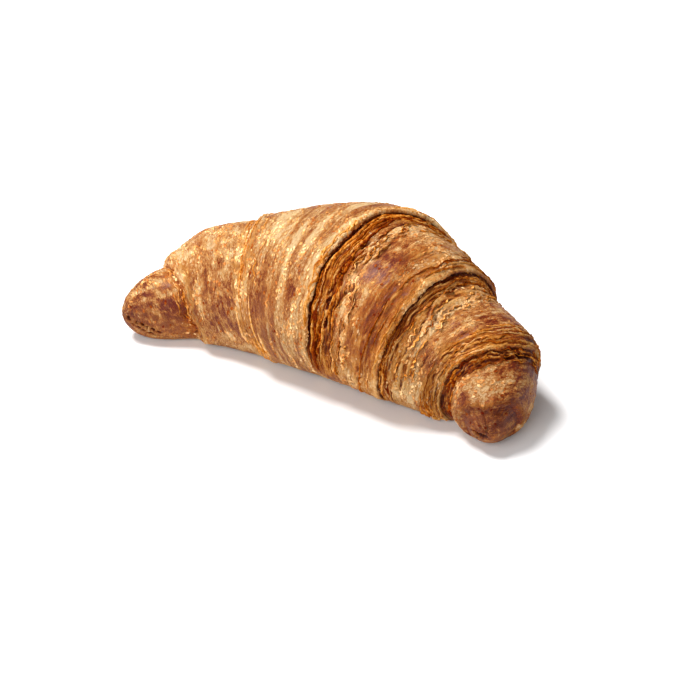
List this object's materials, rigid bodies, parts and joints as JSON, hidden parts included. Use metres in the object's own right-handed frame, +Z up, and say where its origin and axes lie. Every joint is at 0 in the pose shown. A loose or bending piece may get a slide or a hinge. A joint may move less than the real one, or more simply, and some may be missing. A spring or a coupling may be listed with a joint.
{
  "type": "jam croissant",
  "caption": "Crescent-shaped filled croissant of rolled, laminated dough, baked in one piece, standing on its flat underside.",
  "frame": {"origin": "under the middle of the bounding box, on the surface that the croissant rests on", "axes": "+X along the crescent from the left horn to the right one, +Y towards its outer, bulging side, +Z up"},
  "size_m": [0.162, 0.0818, 0.0577],
  "materials": {
    "baked_dough": "egg-washed laminated dough, baked golden brown, with flaky layer edges and a soft sheen"
  },
  "bodies": {
    "root": {"croissant": "baked_dough"}
  },
  "joints": []
}
